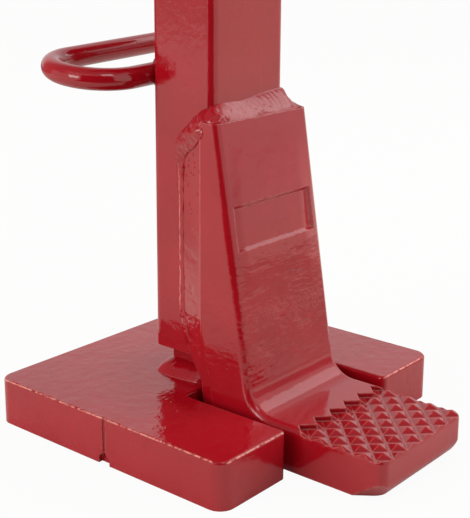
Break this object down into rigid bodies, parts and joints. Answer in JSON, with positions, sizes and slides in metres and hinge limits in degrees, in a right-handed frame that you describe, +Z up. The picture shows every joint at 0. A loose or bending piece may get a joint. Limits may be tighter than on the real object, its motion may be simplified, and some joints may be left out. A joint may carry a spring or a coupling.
{
  "type": "rack and pinion jack",
  "caption": "Steel rack jack: housing column with serrated toe and head climbs a rack on a slotted base plate, driven by a folding-grip crank through gears with a load brake.",
  "frame": {"origin": "on the ground under the column's axis, in the base plate's underside", "axes": "+X across the jack to its gear case, -Y towards the lifting toe, +Z up along the rack"},
  "size_m": [0.2375, 0.328, 0.78],
  "materials": {
    "red_enamel": "gloss",
    "bare_steel": "machined",
    "zinc_steel": "zinc plated",
    "bronze": "machined",
    "friction_lining": "matte",
    "black_grip": "satin"
  },
  "bodies": {
    "base_body": {"base_plate": "red_enamel", "rack": "bare_steel", "rack_foot_weld": "red_enamel", "rack_stop_pin": "bare_steel"},
    "housing": {"column_tube": "red_enamel", "lower_guide": "bronze", "upper_guide": "bronze", "backing_shoe": "bronze", "lifting_toe": "red_enamel", "toe_top_weld": "red_enamel", "toe_side_welds": "red_enamel", "carry_handle": "red_enamel", "handle_welds": "red_enamel", "head_plate": "red_enamel", "head_weld": "red_enamel", "left_gear_plate": "red_enamel", "right_gear_plate": "red_enamel", "gear_plate_welds": "red_enamel", "chamber_cover": "red_enamel", "grease_nipples": "zinc_steel", "gear_case_cover": "red_enamel", "cover_screws": "zinc_steel", "pinion_bushes": "bronze", "countershaft_bushes": "bronze", "crank_bushes": "bronze", "ratchet_wheel": "bare_steel", "pawl_stud": "bare_steel"},
    "pinion_set": {"rack_pinion": "bare_steel", "pinion_rings": "bare_steel", "output_gear": "bare_steel", "output_key": "bare_steel"},
    "counter_set": {"countershaft": "bare_steel", "countershaft_gear": "bare_steel", "countershaft_key": "bare_steel", "countershaft_spacer": "bare_steel"},
    "crank_set": {"crank_shaft": "bare_steel", "brake_flange": "bare_steel", "friction_discs": "friction_lining", "crank_hub": "red_enamel", "crank_arm": "red_enamel", "hub_washer": "zinc_steel", "castle_nut": "zinc_steel", "cotter_pin": "zinc_steel", "grip_bracket": "red_enamel", "grip_hinge_pin": "bare_steel"},
    "grip_set": {"grip_spindle": "bare_steel", "grip_washer": "zinc_steel"},
    "grip_roller": {"grip_sleeve": "black_grip"},
    "pawl_set": {"pawl": "bare_steel"}
  },
  "joints": [
    {"name": "lift", "type": "slide", "parent": "base_body", "child": "housing", "axis": [0, 0, 1], "range_m": [0, 0.35]},
    {"name": "pinion_turn", "type": "hinge", "parent": "housing", "child": "pinion_set", "pos_m": [0, 0.03475, 0.365], "axis": [1, 0, 0], "range_deg": [-1, 1005]},
    {"name": "countershaft_turn", "type": "hinge", "parent": "housing", "child": "counter_set", "pos_m": [0, 0.06292, 0.41798], "axis": [1, 0, 0], "range_deg": [-3010, 1]},
    {"name": "crank_turn", "type": "hinge", "parent": "housing", "child": "crank_set", "pos_m": [0, 0.0444, 0.47505], "axis": [1, 0, 0], "range_deg": [-1, 12034]},
    {"name": "grip_fold", "type": "hinge", "parent": "crank_set", "child": "grip_set", "pos_m": [-0.1125, 0.15005, 0.70163], "axis": [0, 0.9063, -0.4226], "range_deg": [0, 90]},
    {"name": "grip_spin", "type": "hinge", "parent": "grip_set", "child": "grip_roller", "pos_m": [-0.1125, 0.15005, 0.70163], "axis": [0, 0.4226, 0.9063], "continuous": true},
    {"name": "pawl_lift", "type": "hinge", "parent": "housing", "child": "pawl_set", "pos_m": [0, 0.08297, 0.52101], "axis": [-1, 0, 0], "range_deg": [0, 30]}
  ],
  "couplings": [
    {"joint": "pinion_turn", "follows": "lift", "rad_per_m": 50},
    {"joint": "countershaft_turn", "follows": "lift", "rad_per_m": -150},
    {"joint": "crank_turn", "follows": "lift", "rad_per_m": 600}
  ]
}
